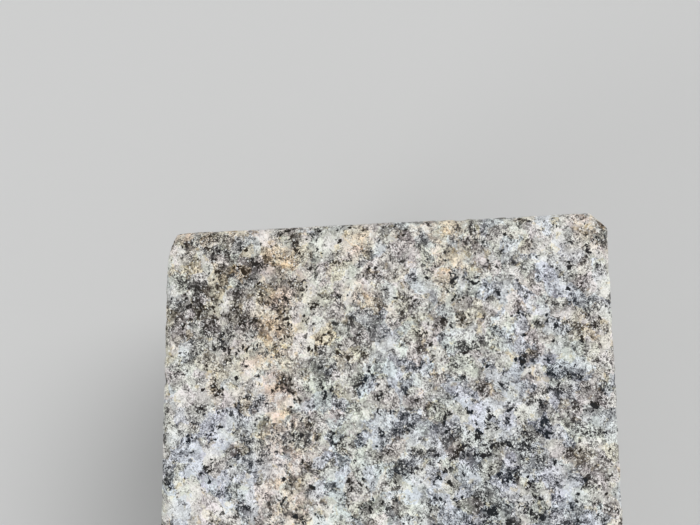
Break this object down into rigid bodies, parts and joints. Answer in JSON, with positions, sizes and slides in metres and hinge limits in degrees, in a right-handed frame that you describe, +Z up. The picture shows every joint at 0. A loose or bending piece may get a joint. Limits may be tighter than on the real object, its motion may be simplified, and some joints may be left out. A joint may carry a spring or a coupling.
{
  "type": "granite kerb stone",
  "caption": "Straight granite kerb stone with a dressed top, softly worn arrises, one slightly skewed end and rough pitched sides below ground; lines the edge of a road or path",
  "frame": {"origin": "centre of the bed, on the ground, under the middle of the stone's box", "axes": "+X along the kerb towards the skewed end, -Y out of the road face, +Y out of the footway face, +Z up"},
  "size_m": [0.9998, 0.1414, 0.25],
  "materials": {
    "granite": "fine-axed light grey granite, weathered"
  },
  "bodies": {
    "root": {"kerb_stone": "granite"}
  },
  "joints": []
}
